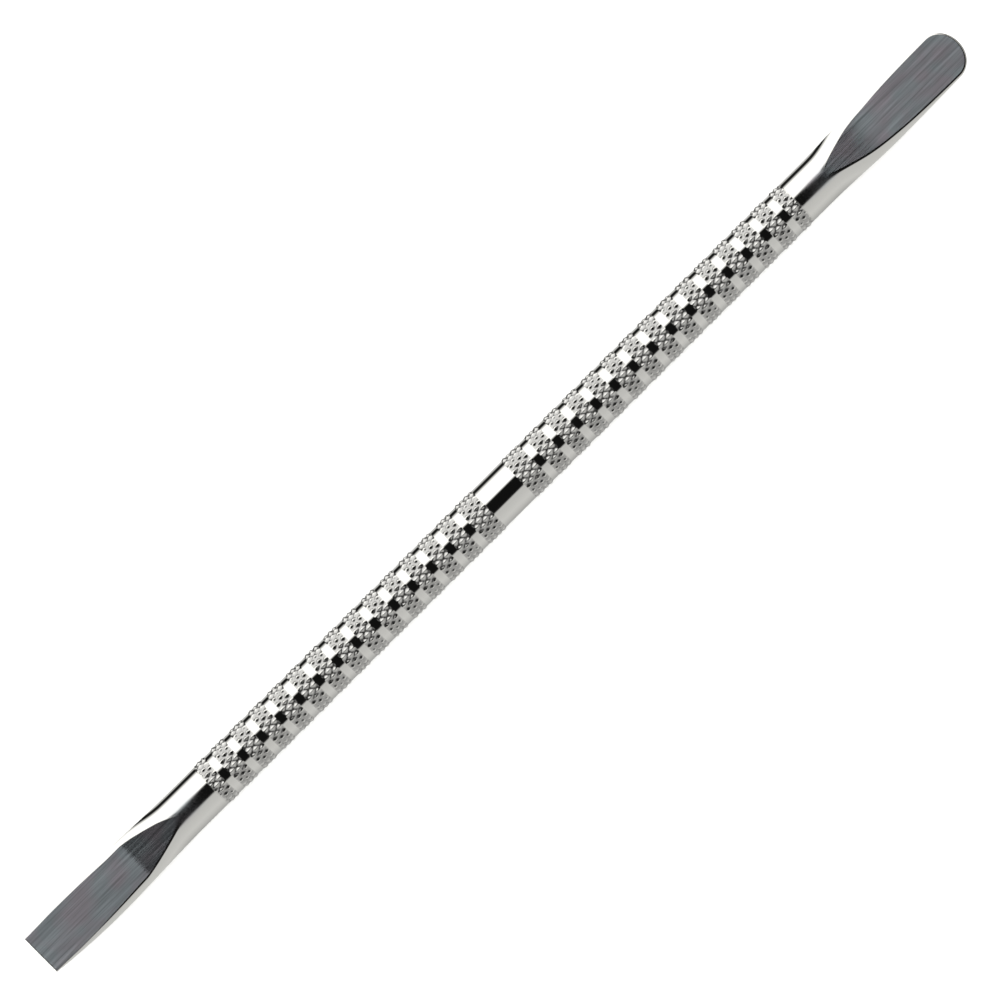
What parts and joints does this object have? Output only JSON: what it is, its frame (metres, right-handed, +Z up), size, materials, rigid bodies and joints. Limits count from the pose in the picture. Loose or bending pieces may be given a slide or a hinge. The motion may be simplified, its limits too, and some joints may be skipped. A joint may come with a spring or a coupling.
{
  "type": "cuticle pusher",
  "caption": "Double-ended steel cuticle pusher: a slim knurled handle with a square spade scraper on one end and a round spoon pusher on the other.",
  "frame": {"origin": "under the middle of the tool's length and width, on the surface that the tool lies on", "axes": "+X along the tool, from the square spade end to the round pusher end; +Z up, the way both ground faces look; +Y across the blades"},
  "size_m": [0.1296, 0.0056, 0.0052],
  "materials": {
    "polished_plate": "bright plated steel, mirror polished, with a fine diamond knurl on the grip bands",
    "ground_steel": "ground steel with fine scratches along the tool on the flat faces, polished and plated elsewhere"
  },
  "bodies": {
    "root": {"handle": "polished_plate", "spade_end": "ground_steel", "pusher_end": "ground_steel"}
  },
  "joints": []
}
